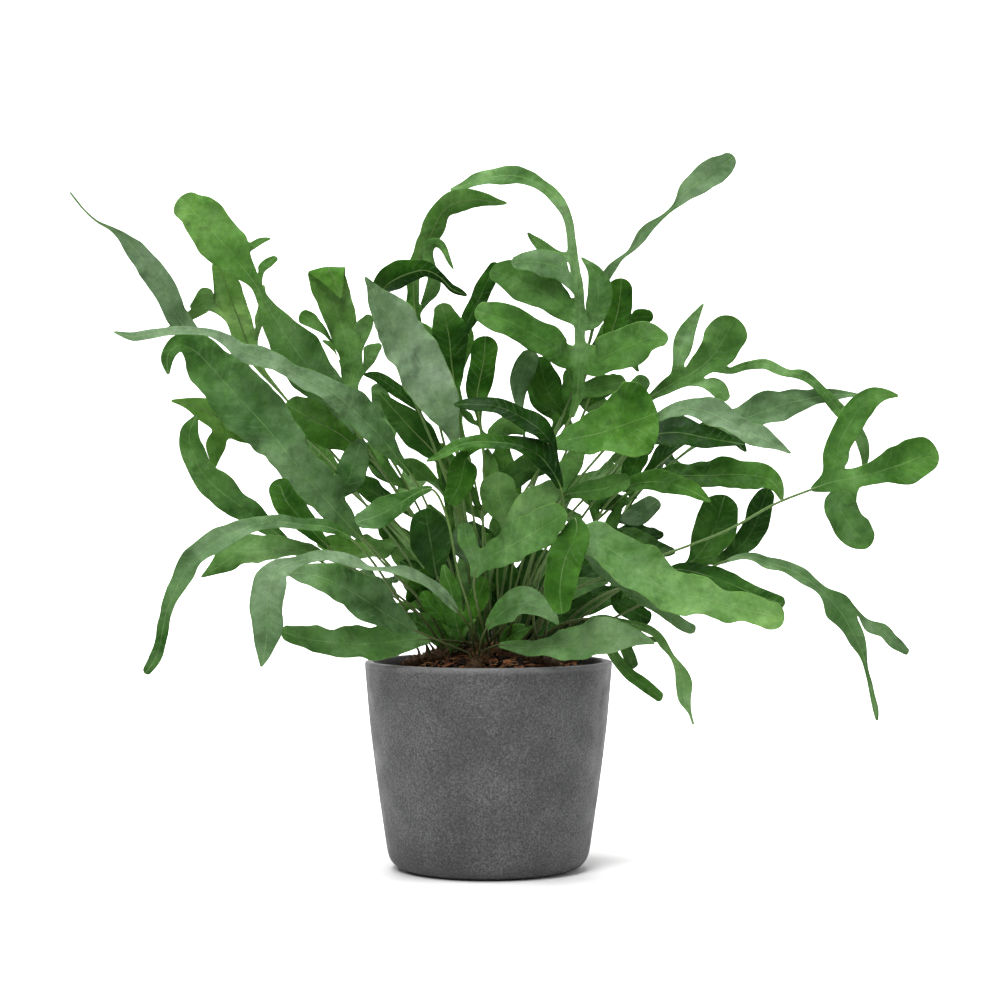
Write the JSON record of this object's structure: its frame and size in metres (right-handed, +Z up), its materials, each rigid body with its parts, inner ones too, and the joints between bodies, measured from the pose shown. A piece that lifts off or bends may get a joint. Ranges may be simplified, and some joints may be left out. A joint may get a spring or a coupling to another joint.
{
  "type": "potted blue star fern",
  "caption": "Blue star fern with long lobed blue-green fronds on thin stipes, rising from creeping rhizomes in bark soil in a dark grey tapered pot.",
  "frame": {"origin": "centre of the pot's flat foot, on the surface it stands on", "axes": "+Z up out of the foot, the pictured side faces -Y, +X to the right seen from there"},
  "size_m": [0.6847, 0.3891, 0.5772],
  "materials": {
    "pot": "matt, speckled dark grey clay fibre with a worn lip",
    "soil": "rough, dark bark chips and peat",
    "rhizome": "matt, covered with golden brown scales",
    "leaf": "satin, blue-green bloom on the upper face, brighter green below"
  },
  "bodies": {
    "root": {"pot": "pot", "soil": "soil", "rhizome": "rhizome", "frond_left_spear": "leaf", "frond_left_paddle": "leaf", "frond_left_back": "leaf", "frond_grey_ribbon": "leaf", "frond_left_broad": "leaf", "frond_left_bright": "leaf", "frond_left_wavy": "leaf", "frond_left_round": "leaf", "frond_left_low_arch": "leaf", "frond_left_low_green": "leaf", "frond_left_hanging": "leaf", "frond_left_dark": "leaf", "frond_left_rim": "leaf", "frond_folded_tip": "leaf", "frond_big_grey": "leaf", "frond_dark_pair": "leaf", "frond_dark_tongue": "leaf", "frond_bright_round": "leaf", "frond_dark_arch": "leaf", "frond_top_arch": "leaf", "frond_arching_crown": "leaf", "frond_right_spear": "leaf", "frond_bright_block": "leaf", "frond_right_fan": "leaf", "frond_right_mid": "leaf", "frond_right_grey": "leaf", "frond_right_shaded": "leaf", "frond_right_big": "leaf", "frond_right_branch": "leaf", "frond_right_hook": "leaf", "frond_right_dark": "leaf", "frond_right_pointed": "leaf", "frond_right_small": "leaf", "frond_right_low_big": "leaf", "frond_right_low_dark": "leaf", "frond_right_low_arch": "leaf", "frond_rim_dangle": "leaf", "frond_front_rim": "leaf", "frond_front_two_lobed": "leaf", "frond_front_round": "leaf", "frond_front_drooping": "leaf", "frond_front_low": "leaf", "frond_front_arches": "leaf", "frond_front_dark": "leaf", "frond_front_grey_curl": "leaf", "frond_front_young": "leaf", "frond_left_inner": "leaf", "frond_back_tall": "leaf", "frond_back_tall_right": "leaf", "frond_back_left": "leaf", "frond_back_right": "leaf", "frond_back_low_left": "leaf", "frond_back_low_right": "leaf", "frond_back_low": "leaf", "frond_back_middle": "leaf", "frond_back_middle_right": "leaf"}
  },
  "joints": []
}
